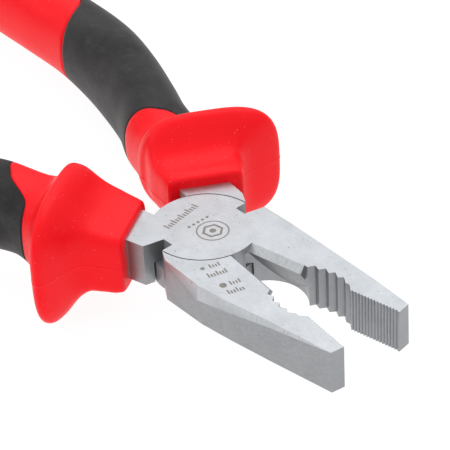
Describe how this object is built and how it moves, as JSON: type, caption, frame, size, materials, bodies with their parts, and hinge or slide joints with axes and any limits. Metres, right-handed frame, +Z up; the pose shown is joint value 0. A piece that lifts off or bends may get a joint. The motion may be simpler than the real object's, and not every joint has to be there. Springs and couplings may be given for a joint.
{
  "type": "lineman pliers",
  "caption": "Combination pliers with flat and pipe jaws, side cutters, a flush rivet joint and two-colour guarded grips.",
  "frame": {"origin": "pivot axis at the underside of the head", "axes": "+X towards the jaw tips along the line between the jaws, +Z up through the head's thickness"},
  "size_m": [0.1754, 0.089, 0.0295],
  "materials": {
    "steel": "satin ground",
    "rivet_steel": "satin ground",
    "red_plastic": "semi-gloss moulded",
    "soft_black": "matte soft-touch"
  },
  "bodies": {
    "upper_side": {"upper_half": "steel", "pivot_rivet": "rivet_steel", "upper_sleeve": "red_plastic", "upper_overmould": "soft_black"},
    "lower_side": {"lower_half": "steel", "lower_sleeve": "red_plastic", "lower_overmould": "soft_black"}
  },
  "joints": [
    {"name": "jaw_pivot", "type": "hinge", "parent": "upper_side", "child": "lower_side", "pos_m": [0, 0, 0], "axis": [0, 0, -1], "range_deg": [-17.6, 17]}
  ]
}
